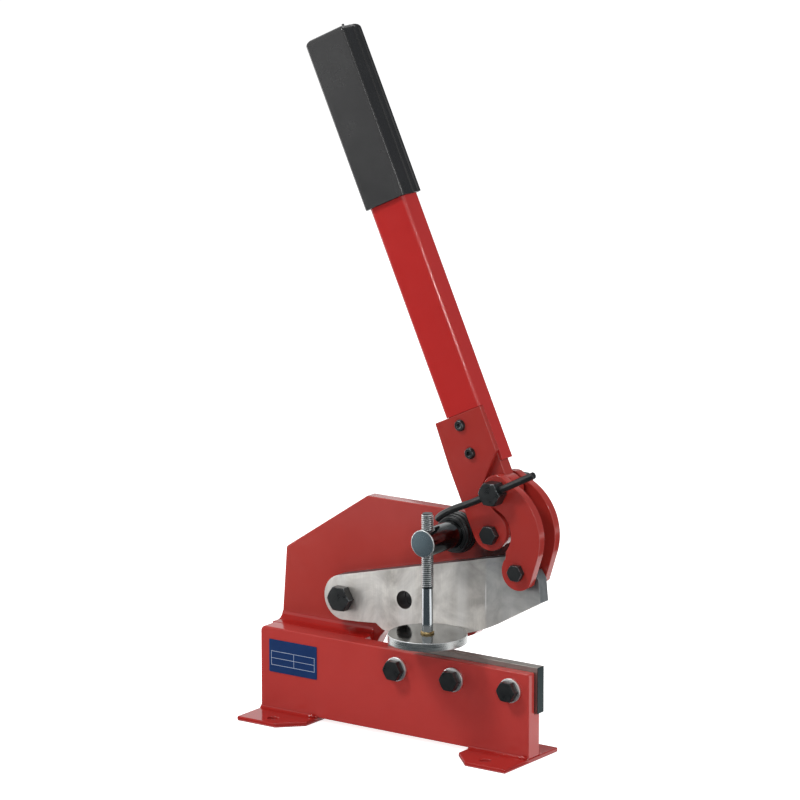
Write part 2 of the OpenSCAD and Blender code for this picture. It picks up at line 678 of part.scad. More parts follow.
front_beam();
web_block();
rear_plate();
left_foot();
right_foot();
foot_welds();
label_plate();
lower_blade();
lower_blade_washers();
lower_blade_bolts();
upper_blade();
blade_pivot_bolt();
blade_pivot_washer();
blade_pivot_nut();
lever_cheek();
lever_core();
handle_tube();
handle_grip();
lever_screws();
lever_screw_nuts();
lever_pivot_bolt();
lever_pivot_washer();
lever_pivot_nut();
front_link();
rear_link();
link_lower_bolt();
link_lower_nut();
link_upper_bolt();
link_upper_nut();
lock_rod();
hold_down_bar();
hold_down_collar();
hold_down_washer();
hold_down_nut();
hold_down_screw();
hold_down_braze();
hold_down_foot();
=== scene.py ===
"""Looks of the bench rod shear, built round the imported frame.

Sizes are in millimetres until MM turns them to metres.
"""
import json
import math

import bpy
from mathutils import Matrix, Vector


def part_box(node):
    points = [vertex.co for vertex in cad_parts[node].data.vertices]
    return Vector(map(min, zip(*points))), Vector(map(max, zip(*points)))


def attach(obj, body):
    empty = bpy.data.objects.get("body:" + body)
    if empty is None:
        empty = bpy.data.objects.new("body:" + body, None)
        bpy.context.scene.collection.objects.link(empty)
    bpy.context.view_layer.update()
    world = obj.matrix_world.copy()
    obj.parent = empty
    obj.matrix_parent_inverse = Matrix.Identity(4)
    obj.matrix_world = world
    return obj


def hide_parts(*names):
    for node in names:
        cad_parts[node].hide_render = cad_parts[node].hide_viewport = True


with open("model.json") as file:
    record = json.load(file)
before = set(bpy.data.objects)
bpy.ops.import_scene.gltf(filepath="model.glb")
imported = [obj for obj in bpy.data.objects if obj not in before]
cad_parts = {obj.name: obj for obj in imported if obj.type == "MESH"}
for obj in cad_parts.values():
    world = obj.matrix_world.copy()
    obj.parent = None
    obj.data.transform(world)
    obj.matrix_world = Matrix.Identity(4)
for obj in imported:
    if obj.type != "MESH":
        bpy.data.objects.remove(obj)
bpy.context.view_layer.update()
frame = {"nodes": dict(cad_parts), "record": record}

MM = 0.001
# Points nearer than this are one point, in a CAD piece and in a piece made here
CAD_GRAIN, SAME_POINT = 0.002 * MM, 0.001 * MM
# A face lies square to an axis when its normal goes this far along it
SQUARE = 0.99


# Modelling


def only(obj):
    """Leaves one object selected and active."""
    for other in bpy.context.selected_objects:
        other.select_set(False)
    bpy.context.view_layer.objects.active = obj
    obj.select_set(True)


def edit(obj):
    """Opens an object's mesh for editing, with all of it selected."""
    only(obj)
    bpy.ops.object.mode_set(mode="EDIT")
    bpy.ops.mesh.select_mode(type="VERT")
    bpy.ops.mesh.select_all(action="SELECT")


def done():
    bpy.ops.object.mode_set(mode="OBJECT")


def pick_faces(obj, wanted):
    """Opens a mesh for editing with those faces selected that pass a test."""
    edit(obj)
    bpy.ops.mesh.select_mode(type="FACE")
    bpy.ops.mesh.select_all(action="DESELECT")
    done()
    for face in obj.data.polygons:
        face.select = wanted(face)
    bpy.ops.object.mode_set(mode="EDIT")


def pick_edges(obj, wanted):
    """Opens a mesh for editing with those edges selected whose two ends pass a test."""
    edit(obj)
    bpy.ops.mesh.select_mode(type="EDGE")
    bpy.ops.mesh.select_all(action="DESELECT")
    done()
    points = [vertex.co for vertex in obj.data.vertices]
    for edge in obj.data.edges:
        edge.select = wanted(*(points[i] for i in edge.vertices))
    bpy.ops.object.mode_set(mode="EDIT")


def block(name, low, high):
    """A box between two corners, in millimetres."""
    bpy.ops.mesh.primitive_cube_add(size=1, location=[(a + b) / 2 * MM for a, b in zip(low, high)],
                                    scale=[(b - a) * MM for a, b in zip(low, high)])
    obj = new_piece(name)
    set_place(obj)
    return obj


def new_piece(name):
    """Names the primitive that was just added."""
    obj = bpy.context.object
    obj.name = name
    obj.data.name = name
    return obj


def set_place(obj):
    """Moves an object's place, turn and size into its mesh."""
    only(obj)
    bpy.ops.object.transform_apply(location=True, rotation=True, scale=True)


def modify(obj, kind, **settings):
    """Adds a modifier and applies it."""
    only(obj)
    modifier = obj.modifiers.new(kind.lower(), kind)
    for key, value in settings.items():
        setattr(modifier, key, value)
    bpy.ops.object.modifier_apply(modifier=modifier.name)


def round_edges(obj, width, steps=3, sharp=35, **settings):
    modify(obj, "BEVEL", width=width * MM, segments=steps, limit_method="ANGLE",
           angle_limit=math.radians(sharp), use_clamp_overlap=False, loop_slide=False, **settings)


def smooth(obj, angle=32):
    """Shades soft edges smooth, and keeps the flat faces beside them flat."""
    only(obj)
    bpy.ops.object.shade_smooth_by_angle(angle=math.radians(angle))
    modify(obj, "WEIGHTED_NORMAL", keep_sharp=True)


def join(first, *others):
    only(first)
    for other in others:
        other.select_set(True)
    bpy.ops.object.join()
    return first


def merged(node, name):
    """A copy of a CAD piece, with its loose triangles made whole faces again."""
    obj = bpy.data.objects.new(name, frame["nodes"][node].data.copy())
    obj.data.name = name
    obj.data.materials.clear()
    bpy.context.scene.collection.objects.link(obj)
    edit(obj)
    bpy.ops.mesh.customdata_custom_splitnormals_clear()
    bpy.ops.mesh.remove_doubles(threshold=CAD_GRAIN)
    bpy.ops.mesh.dissolve_limited(angle_limit=math.radians(0.4))
    done()
    return obj


def refinish(obj, material, wanted):
    """Gives another material to those faces of a piece that pass a test."""
    obj.data.materials.append(material)
    for face in obj.data.polygons:
        if wanted(face):
            face.material_index = len(obj.data.materials) - 1


def thread_along_z(name, length, d, pitch, crest, root, steps=28):
    """A closed threaded rod from z = 0 up: a core in one material, and a ridge wound round it in another."""
    ridge_high = 0.6 * pitch
    core_r = d / 2 - ridge_high
    # The core is a little thicker than the ridge's inside, so that no gap shows between them
    bpy.ops.mesh.primitive_cylinder_add(vertices=48, radius=(core_r + 0.02 * d) * MM, depth=length * MM,
                                        location=(0, 0, length / 2 * MM))
    core = new_piece(name)
    set_place(core)
    turns = max(1, int(length / pitch) - 1)
    bpy.ops.mesh.primitive_plane_add(size=1)
    ridge = new_piece(name + "_ridge")
    # Half the ridge's width at its root and at its crest, as shares of the pitch
    root_half, crest_half = 0.4, 0.16
    corners = ((core_r, -root_half), (d / 2, -crest_half), (core_r, root_half), (d / 2, crest_half))
    for vertex, (r, share) in zip(ridge.data.vertices, corners):
        vertex.co = (r * MM, 0, (share + 0.5) * pitch * MM)
    modify(ridge, "SCREW", screw_offset=pitch * MM, iterations=turns, steps=steps, render_steps=steps,
           axis="Z", use_merge_vertices=False, use_smooth_shade=False)
    edit(ridge)
    bpy.ops.mesh.remove_doubles(threshold=SAME_POINT)
    bpy.ops.mesh.select_all(action="DESELECT")
    bpy.ops.mesh.select_non_manifold()
    bpy.ops.mesh.fill_holes(sides=4)
    bpy.ops.mesh.select_all(action="SELECT")
    bpy.ops.mesh.normals_make_consistent(inside=False)
    done()
    core.data.materials.append(root)
    ridge.data.materials.append(crest)
    return join(core, ridge)


# Materials


def sheen_of(text):
    """A colour written in sRGB hex, as the linear values that Blender mixes."""
    parts = [int(text[i:i + 2], 16) / 255 for i in (1, 3, 5)]
    return [*(c / 12.92 if c <= 0.04045 else ((c + 0.055) / 1.055) ** 2.4 for c in parts), 1.0]


def node(tree, kind, inputs=None, **settings):
    """Adds a node with its settings, its values and its links."""
    made = tree.nodes.new(kind)
    for key, value in settings.items():
        setattr(made, key, value)
    for socket, value in (inputs or {}).items():
        if isinstance(value, bpy.types.NodeSocket):
            tree.links.new(value, made.inputs[socket])
        else:
            made.inputs[socket].default_value = value
    return made


def start(name):
    """An empty material, and the place on the piece in metres."""
    material = bpy.data.materials.new(name)
    material.use_nodes = True
    tree = material.node_tree
    tree.nodes.clear()
    return material, tree, node(tree, "ShaderNodeTexCoord").outputs["Object"]


def end(tree, shader):
    node(tree, "ShaderNodeOutputMaterial", {"Surface": shader.outputs[0]})


def per(size):
    """Noise scale for a pattern whose blobs are that many millimetres wide."""
    return 1 / (size * MM)


def spray_enamel(name, deep, pale, least, most, painted_shade_spots=()):
    """Alkyd enamel sprayed on steel: two near reds where the coat is uneven, and a range of gloss.

    Each painted shade spot says where it is across and up, how far it reaches, and how dark the painted shade
    is.
    """
    material, tree, place = start(name)
    uneven = node(tree, "ShaderNodeTexNoise", {"Vector": place, "Scale": per(38), "Detail": 3.0,
                                               "Roughness": 0.55})
    coat = node(tree, "ShaderNodeMix", {"Factor": uneven.outputs["Fac"], "A": sheen_of(deep),
                                        "B": sheen_of(pale)}, data_type="RGBA")
    # Each spot is painted shadow: the coat is mixed towards a near black brown
    for x, z, reach, dark in painted_shade_spots:
        flat_place = node(tree, "ShaderNodeVectorMath", {0: place, 1: (1, 0, 1)}, operation="MULTIPLY")
        off = node(tree, "ShaderNodeVectorMath", {0: flat_place.outputs["Vector"], 1: (x * MM, 0, z * MM)},
                   operation="DISTANCE")
        shade_edge_noise = node(tree, "ShaderNodeTexNoise", {"Vector": place, "Scale": per(9), "Detail": 3.0})
        ragged = node(tree, "ShaderNodeMath", {0: shade_edge_noise.outputs["Fac"], 1: 0.4 * reach * MM,
                                               2: off.outputs["Value"]}, operation="MULTIPLY_ADD")
        share = node(tree, "ShaderNodeMapRange", {
            "Value": ragged.outputs[0], "From Min": 0.55 * reach * MM, "From Max": 1.2 * reach * MM,
            "To Min": dark, "To Max": 0.0}, interpolation_type="SMOOTHSTEP")
        coat = node(tree, "ShaderNodeMix", {"Factor": share.outputs["Result"], "A": coat.outputs["Result"],
                                            "B": sheen_of("#1b0f0c")}, data_type="RGBA")
    # Orange peel is 3 to 4 mm across and very shallow
    peel = node(tree, "ShaderNodeTexNoise", {"Vector": place, "Scale": per(3.5), "Detail": 1.5,
                                             "Roughness": 0.4})
    dust = node(tree, "ShaderNodeTexNoise", {"Vector": place, "Scale": per(14), "Detail": 3.0,
                                             "Roughness": 0.55})
    gloss = node(tree, "ShaderNodeMapRange", {"Value": dust.outputs["Fac"], "From Min": 0.3, "From Max": 0.75,
                                              "To Min": least, "To Max": most})
    relief = node(tree, "ShaderNodeBump", {"Height": peel.outputs["Fac"], "Strength": 0.08,
                                           "Distance": 0.04 * MM})
    end(tree, node(tree, "ShaderNodeBsdfPrincipled", {
        "Base Color": coat.outputs["Result"], "Roughness": gloss.outputs["Result"], "IOR": 1.5,
        "Normal": relief.outputs["Normal"]}))
    return material


def mottled(name, blob, deep, pale, gloss, detail=3.0, broken=0.5, spread=(0.0, 1.0), metallic=1.0):
    """A finish that wavers between two near tones, in blobs of one width in millimetres.

    Gloss is one roughness, or the two that it has at the ends of the blobs' spread.
    """
    material, tree, place = start(name)
    blobs = node(tree, "ShaderNodeTexNoise", {"Vector": place, "Scale": per(blob), "Detail": detail,
                                              "Roughness": broken})
    tone = node(tree, "ShaderNodeMix", {"Factor": blobs.outputs["Fac"], "A": sheen_of(deep),
                                        "B": sheen_of(pale)}, data_type="RGBA")
    if isinstance(gloss, tuple):
        gloss = node(tree, "ShaderNodeMapRange", {
            "Value": blobs.outputs["Fac"], "From Min": spread[0], "From Max": spread[1],
            "To Min": gloss[0], "To Max": gloss[1]}).outputs["Result"]
    end(tree, node(tree, "ShaderNodeBsdfPrincipled", {
        "Base Color": tone.outputs["Result"], "Metallic": metallic, "Roughness": gloss}))
    return material


# The frame's rolled plate has the palest coat, and the drawn tube the glossiest. On the feet and the small
# lever plates it lies thicker and deeper. Round the collar, under the cheek and above the blade's top edge,
# cast shadow is painted dark into the arm plate
frame_enamel = spray_enamel("frame_spray_enamel", "#a9332f", "#b43b36", 0.11, 0.2)
arm_enamel = spray_enamel("arm_spray_enamel", "#9f332d", "#aa3b34", 0.09, 0.17,
                          painted_shade_spots=((84, 160, 27, 0.85), (52, 158, 52, 0.3)))
tube_enamel = spray_enamel("tube_spray_enamel", "#a62422", "#b12927", 0.07, 0.13)
plate_enamel = spray_enamel("plate_spray_enamel", "#962a24", "#a0302a", 0.14, 0.24)
foot_enamel = spray_enamel("foot_spray_enamel", "#9c1e1a", "#a8241e", 0.06, 0.14)

# Painted shade for the wall and mouth of a drilled hole, where the light does not reach. Nearly black brown.
bore_shade = mottled("painted_shade_in_drilled_bore", 3, "#15100e", "#2e231f", 0.5, broken=0.6, metallic=0.0)

# Tool steel, ground on the faces. Pale, with soft upright bands where the grinder passed, cloudy oil marks,
# and a darker grey that grows towards the top edge near the tip.
blade_steel, tree, place = start("ground_tool_steel")
where = node(tree, "ShaderNodeSeparateXYZ", {"Vector": place})
lines_place = node(tree, "ShaderNodeMapping", {"Vector": place, "Scale": (per(0.6), per(0.6), per(26))})
lines = node(tree, "ShaderNodeTexNoise", {"Vector": lines_place.outputs["Vector"], "Scale": 1.0,
                                          "Detail": 3.0, "Roughness": 0.6})
bands_place = node(tree, "ShaderNodeMapping", {"Vector": place, "Scale": (per(17), per(17), per(150))})
bands = node(tree, "ShaderNodeTexNoise", {"Vector": bands_place.outputs["Vector"], "Scale": 1.0,
                                          "Detail": 2.0, "Roughness": 0.5})
cloud = node(tree, "ShaderNodeTexNoise", {"Vector": place, "Scale": per(36), "Detail": 5.0, "Roughness": 0.6,
                                          "Distortion": 0.6})
cloud_share = node(tree, "ShaderNodeMapRange", {"Value": cloud.outputs["Fac"], "From Min": 0.38,
                                                "From Max": 0.6})
bare = node(tree, "ShaderNodeMix", {"Factor": cloud_share.outputs["Result"], "A": sheen_of("#948d85"),
                                    "B": sheen_of("#fffaf2")}, data_type="RGBA")
band_share = node(tree, "ShaderNodeMapRange", {"Value": bands.outputs["Fac"], "From Min": 0.36,
                                               "From Max": 0.66, "To Min": 0.0, "To Max": 0.55})
banded = node(tree, "ShaderNodeMix", {"Factor": band_share.outputs["Result"], "A": bare.outputs["Result"],
                                      "B": sheen_of("#fbfaf8")}, data_type="RGBA")
lined = node(tree, "ShaderNodeMix", {"Factor": lines.outputs["Fac"], "A": banded.outputs["Result"],
                                     "B": sheen_of("#cfccc8")}, data_type="RGBA")
# The darker grey grows towards the top right corner
rise = node(tree, "ShaderNodeMapRange", {"Value": where.outputs["Z"], "From Min": 112 * MM,
                                         "From Max": 158 * MM})
run = node(tree, "ShaderNodeMapRange", {"Value": where.outputs["X"], "From Min": -10 * MM,
                                        "From Max": 110 * MM})
smoke = node(tree, "ShaderNodeTexNoise", {"Vector": place, "Scale": per(22), "Detail": 4.0,
                                          "Roughness": 0.55, "Distortion": 0.4})
corner = node(tree, "ShaderNodeMath", {0: rise.outputs["Result"], 1: run.outputs["Result"]},
              operation="MULTIPLY")
tip_dark = node(tree, "ShaderNodeMath", {0: corner.outputs[0], 1: smoke.outputs["Fac"]}, operation="MULTIPLY")
tip_dark_share = node(tree, "ShaderNodeMapRange", {"Value": tip_dark.outputs[0], "From Min": 0.05, "From Max": 0.42,
                                                "To Max": 0.6})
tip_darkened = node(tree, "ShaderNodeMix", {"Factor": tip_dark_share.outputs["Result"], "A": lined.outputs["Result"],
                                       "B": sheen_of("#56585a")}, data_type="RGBA")
# Past this line the face is a little bluer, and a pale upright line stands just before it
TONE_STEP_X, PALE_LINE_X, PALE_LINE_Z = 82, 81.9, 129
past = node(tree, "ShaderNodeMapRange", {"Value": where.outputs["X"], "From Min": (TONE_STEP_X - 1.5) * MM,
                                         "From Max": (TONE_STEP_X + 1.5) * MM, "To Max": 0.3})
blued = node(tree, "ShaderNodeMix", {"Factor": past.outputs["Result"], "A": tip_darkened.outputs["Result"],
                                     "B": sheen_of("#8f969b")}, data_type="RGBA")
pale_line_on = node(tree, "ShaderNodeMath", {0: where.outputs["X"], 1: PALE_LINE_X * MM, 2: 0.35 * MM},
                operation="COMPARE")
above = node(tree, "ShaderNodeMath", {0: where.outputs["Z"], 1: PALE_LINE_Z * MM}, operation="SUBTRACT")
off_middle = node(tree, "ShaderNodeMath", {0: above.outputs[0]}, operation="ABSOLUTE")
pale_line_fade = node(tree, "ShaderNodeMapRange", {"Value": off_middle.outputs[0], "From Min": 6 * MM,
                                               "From Max": 15 * MM, "To Min": 0.75, "To Max": 0.0})
pale_line = node(tree, "ShaderNodeMath", {0: pale_line_on.outputs[0], 1: pale_line_fade.outputs["Result"]},
             operation="MULTIPLY")
pale_lined = node(tree, "ShaderNodeMix", {"Factor": pale_line.outputs[0], "A": blued.outputs["Result"],
                                      "B": sheen_of("#fdfdfd")}, data_type="RGBA")
rough = node(tree, "ShaderNodeMapRange", {"Value": cloud.outputs["Fac"], "From Min": 0.3, "From Max": 0.7,
                                          "To Min": 0.62, "To Max": 0.48})
relief = node(tree, "ShaderNodeBump", {"Height": lines.outputs["Fac"], "Strength": 0.25,
                                       "Distance": 0.03 * MM})
end(tree, node(tree, "ShaderNodeBsdfPrincipled", {
    "Base Color": pale_lined.outputs["Result"], "Metallic": 1.0, "Roughness": rough.outputs["Result"],
    "Normal": relief.outputs["Normal"]}))

# The narrow sides of the same blade, blue grey and uneven.
blade_narrow_sides = mottled("blade_narrow_side_steel", 9, "#666b6d", "#9b9ea0", 0.46, detail=4.0, broken=0.6)

# The same steel, oiled and grey from grinding along its length. Its right end face is dark blue grey.
dark_steel, tree, place = start("hardened_blade_steel")
patch = node(tree, "ShaderNodeTexNoise", {"Vector": place, "Scale": per(14), "Detail": 4.0, "Roughness": 0.6})
ground = node(tree, "ShaderNodeMix", {"Factor": patch.outputs["Fac"], "A": sheen_of("#7b7672"),
                                      "B": sheen_of("#a8a29d")}, data_type="RGBA")
where = node(tree, "ShaderNodeSeparateXYZ", {"Vector": place})
right_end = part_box("lower_blade")[1].x
end_share = node(tree, "ShaderNodeMapRange", {"Value": where.outputs["X"], "From Min": right_end - 0.6 * MM,
                                              "From Max": right_end - 0.2 * MM})
tone = node(tree, "ShaderNodeMix", {"Factor": end_share.outputs["Result"], "A": ground.outputs["Result"],
                                    "B": sheen_of("#2a3537")}, data_type="RGBA")
scratch_place = node(tree, "ShaderNodeMapping", {"Vector": place, "Scale": (per(30), per(0.6), per(0.6))})
scratch = node(tree, "ShaderNodeTexNoise", {"Vector": scratch_place.outputs["Vector"], "Scale": 1.0,
                                            "Detail": 3.0})
relief = node(tree, "ShaderNodeBump", {"Height": scratch.outputs["Fac"], "Strength": 0.25,
                                       "Distance": 0.03 * MM})
end(tree, node(tree, "ShaderNodeBsdfPrincipled", {
    "Base Color": tone.outputs["Result"], "Metallic": 1.0, "Roughness": 0.48,
    "Normal": relief.outputs["Normal"]}))

# Black oxide on forged steel. Nearly black, half dull, with a fine grain.
black_oxide, tree, place = start("black_oxide_steel")
grain = node(tree, "ShaderNodeTexNoise", {"Vector": place, "Scale": per(0.9), "Detail": 3.0,
                                          "Roughness": 0.6})
worn = node(tree, "ShaderNodeTexNoise", {"Vector": place, "Scale": per(6), "Detail": 4.0, "Roughness": 0.6})
tone = node(tree, "ShaderNodeMix", {"Factor": worn.outputs["Fac"], "A": sheen_of("#0c0e0f"),
                                    "B": sheen_of("#1e2021")}, data_type="RGBA")
gloss = node(tree, "ShaderNodeMapRange", {"Value": worn.outputs["Fac"], "From Min": 0.3, "From Max": 0.7,
                                          "To Min": 0.26, "To Max": 0.4})
relief = node(tree, "ShaderNodeBump", {"Height": grain.outputs["Fac"], "Strength": 0.3,
                                       "Distance": 0.04 * MM})
end(tree, node(tree, "ShaderNodeBsdfPrincipled", {
    "Base Color": tone.outputs["Result"], "IOR": 1.5, "Roughness": gloss.outputs["Result"],
    "Normal": relief.outputs["Normal"]}))

# The same forged steel on its rounded edges. Black with bright grey rubs: wear from spanners and boxes, and a
# painted highlight along the chamfers.
edge_rubs_and_highlight, tree, place = start("rubbed_oxide_edge_painted_highlight")
rub = node(tree, "ShaderNodeTexNoise", {"Vector": place, "Scale": per(3.2), "Detail": 3.0, "Roughness": 0.65})
share = node(tree, "ShaderNodeMapRange", {"Value": rub.outputs["Fac"], "From Min": 0.42, "From Max": 0.62})
tone = node(tree, "ShaderNodeMix", {"Factor": share.outputs["Result"], "A": sheen_of("#15171a"),
                                    "B": sheen_of("#8d9396")}, data_type="RGBA")
end(tree, node(tree, "ShaderNodeBsdfPrincipled", {
    "Base Color": tone.outputs["Result"], "Metallic": 1.0, "Roughness": 0.28}))

# Bright zinc plate on washers. Pale and a little milky.
zinc = mottled("bright_zinc_plate", 4, "#dfe0e0", "#f4f4f2", (0.42, 0.56))

# Bright nickel and chrome plate on turned steel. A mirror, slightly clouded.
chrome = mottled("plated_turned_steel", 11, "#a2a7aa", "#b9bdbf", (0.07, 0.17))

# The round side of the cross bar, plated too. Its darker colour is a painted reflection of the shaded plate
# round the collar. A darker mirror.
bar_side_dark_chrome = mottled("bar_side_painted_reflection", 9, "#5a5d5e", "#7c7f80", (0.1, 0.2))

# Painted shade in the bottom of a plated thread. Dark grey and soft.
thread_bottom_shade = mottled("thread_bottom_painted_shade", 4, "#24272a", "#43474a", 0.3)

# The crest of the same thread, rolled and given a painted highlight. Pale and much less mirror-like than the
# shank.
crest_highlight_steel = mottled("rolled_crests_painted_highlight", 3, "#9fa3a4", "#e6e8e8", 0.42)

# Turned and dull plated steel of the disc. Greyer than the bar, with fine marks that run round its rim. Its
# tone, much paler than the flat faces', is painted light on the round side.
disc_steel, tree, place = start("turned_disc_steel")
round_place = node(tree, "ShaderNodeMapping", {"Vector": place, "Scale": (per(26), per(26), per(0.35))})
turning = node(tree, "ShaderNodeTexNoise", {"Vector": round_place.outputs["Vector"], "Scale": 1.0,
                                            "Detail": 3.0, "Roughness": 0.65})
sides = node(tree, "ShaderNodeMix", {"Factor": turning.outputs["Fac"], "A": sheen_of("#64696a"),
                                     "B": sheen_of("#cfd0ce")}, data_type="RGBA")
gloss = node(tree, "ShaderNodeMapRange", {"Value": turning.outputs["Fac"], "From Min": 0.3, "From Max": 0.7,
                                          "To Min": 0.16, "To Max": 0.42})
relief = node(tree, "ShaderNodeBump", {"Height": turning.outputs["Fac"], "Strength": 0.35,
                                       "Distance": 0.03 * MM})
end(tree, node(tree, "ShaderNodeBsdfPrincipled", {
    "Base Color": sides.outputs["Result"], "Metallic": 1.0, "Roughness": gloss.outputs["Result"],
    "Normal": relief.outputs["Normal"]}))

# The flat faces of the disc, turned finer. A soft mirror, with a darker base than the round side as painted
# shade.
disc_face = mottled("faced_disc_steel", 9, "#565959", "#6a6d6d", (0.06, 0.14), detail=4.0, broken=0.6,
                    spread=(0.3, 0.7))

# Brazing brass, left as it ran. Tan, dull and lumpy.
braze = mottled("brazing_brass", 1.4, "#7a6238", "#d9c08c", 0.5, detail=4.0, broken=0.6)

# Moulded black PVC. Dark grey and satin, with a fine grain of about half a millimetre.
pvc, tree, place = start("black_moulded_pvc")
mould = node(tree, "ShaderNodeTexNoise", {"Vector": place, "Scale": per(0.7), "Detail": 2.0,
                                          "Roughness": 0.5})
handled = node(tree, "ShaderNodeTexNoise", {"Vector": place, "Scale": per(28), "Detail": 3.0})
tone = node(tree, "ShaderNodeMix", {"Factor": handled.outputs["Fac"], "A": sheen_of("#161617"),
                                    "B": sheen_of("#1e1e1f")}, data_type="RGBA")
gloss = node(tree, "ShaderNodeMapRange", {"Value": handled.outputs["Fac"], "From Min": 0.3, "From Max": 0.7,
                                          "To Min": 0.22, "To Max": 0.3})
relief = node(tree, "ShaderNodeBump", {"Height": mould.outputs["Fac"], "Strength": 0.25,
                                       "Distance": 0.05 * MM})
end(tree, node(tree, "ShaderNodeBsdfPrincipled", {
    "Base Color": tone.outputs["Result"], "Roughness": gloss.outputs["Result"], "IOR": 1.54,
    "Normal": relief.outputs["Normal"]}))

# Printed polyester film, dark blue and bare of words. Thin pale rules divide it into empty fields.
film_blue, tree, place = start("blue_printed_film")
label_low, label_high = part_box("label_plate")
label_wide, label_tall = label_high.x - label_low.x, label_high.z - label_low.z
where = node(tree, "ShaderNodeSeparateXYZ", {"Vector": place})
across = node(tree, "ShaderNodeMapRange", {"Value": where.outputs["X"], "From Min": label_low.x,
                                           "From Max": label_high.x, "To Max": label_wide / MM}, clamp=False)
upward = node(tree, "ShaderNodeMapRange", {"Value": where.outputs["Z"], "From Min": label_low.z,
                                           "From Max": label_high.z, "To Max": label_tall / MM}, clamp=False)
# Half the width of a rule, then where the upright and the level rules stand
rule = 0.22
field_left, field_split, field_right = 2.5, 26.0, 47.5
field_foot, field_waist, field_top = 6.4, 12.4, 18.4
ruled = None
# Each rule: the coordinate it stands at, its place, and the span it covers on the other coordinate
for line_on, at, span_on, first, last in (
        (upward, field_top, across, field_left, field_right),
        (upward, field_waist, across, field_left, field_right),
        (upward, field_foot, across, field_left, field_right),
        (across, field_split, upward, field_foot, field_top),
        (across, field_left, upward, field_foot, field_top),
        (across, field_right, upward, field_foot, field_top)):
    near = node(tree, "ShaderNodeMath", {0: line_on.outputs["Result"], 1: at, 2: rule}, operation="COMPARE")
    inside = node(tree, "ShaderNodeMath", {0: span_on.outputs["Result"], 1: (first + last) / 2,
                                           2: (last - first) / 2 + rule}, operation="COMPARE")
    line = node(tree, "ShaderNodeMath", {0: near.outputs[0], 1: inside.outputs[0]}, operation="MULTIPLY")
    ruled = line if ruled is None else node(
        tree, "ShaderNodeMath", {0: ruled.outputs[0], 1: line.outputs[0]}, operation="MAXIMUM")
soft = node(tree, "ShaderNodeTexNoise", {"Vector": place, "Scale": per(20), "Detail": 2.0})
ink = node(tree, "ShaderNodeMix", {"Factor": soft.outputs["Fac"], "A": sheen_of("#122c59"),
                                   "B": sheen_of("#163464")}, data_type="RGBA")
print_mix = node(tree, "ShaderNodeMix", {"Factor": ruled.outputs[0], "A": ink.outputs["Result"],
                                         "B": sheen_of("#9fabc0")}, data_type="RGBA")
end(tree, node(tree, "ShaderNodeBsdfPrincipled", {
    "Base Color": print_mix.outputs["Result"], "Roughness": 0.22, "IOR": 1.45}))


# Pieces


def give(obj, material, body, slot, *nodes):
    """Finishes a piece: its material, the body it moves with and the CAD pieces it stands for, which are
    hidden. The slot is not used.
    """
    if material:
        obj.data.materials.clear()
        obj.data.materials.append(material)
    smooth(obj)
    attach(obj, body)
    if nodes:
        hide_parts(*nodes)


# These have a turned chamfer, painted pale with the crest finish as a highlight round the rim
RIM_PAINTED_HIGHLIGHT = ("hold_down_bar", "hold_down_foot")
# The black pieces whose edges get neither rubs nor painted highlight
DULL_RIM = ("hold_down_collar", "lower_blade_bolts")
BODY_OF = {n: body for body, nodes in frame["record"]["behaviour"]["bodies"].items() for n in nodes}
# The hole for round bar, and how far from its middle the walls and their rounded mouths reach
CROP_X, CROP_Z, CROP_REACH = -0.25 * MM, 114.62 * MM, 8.6 * MM

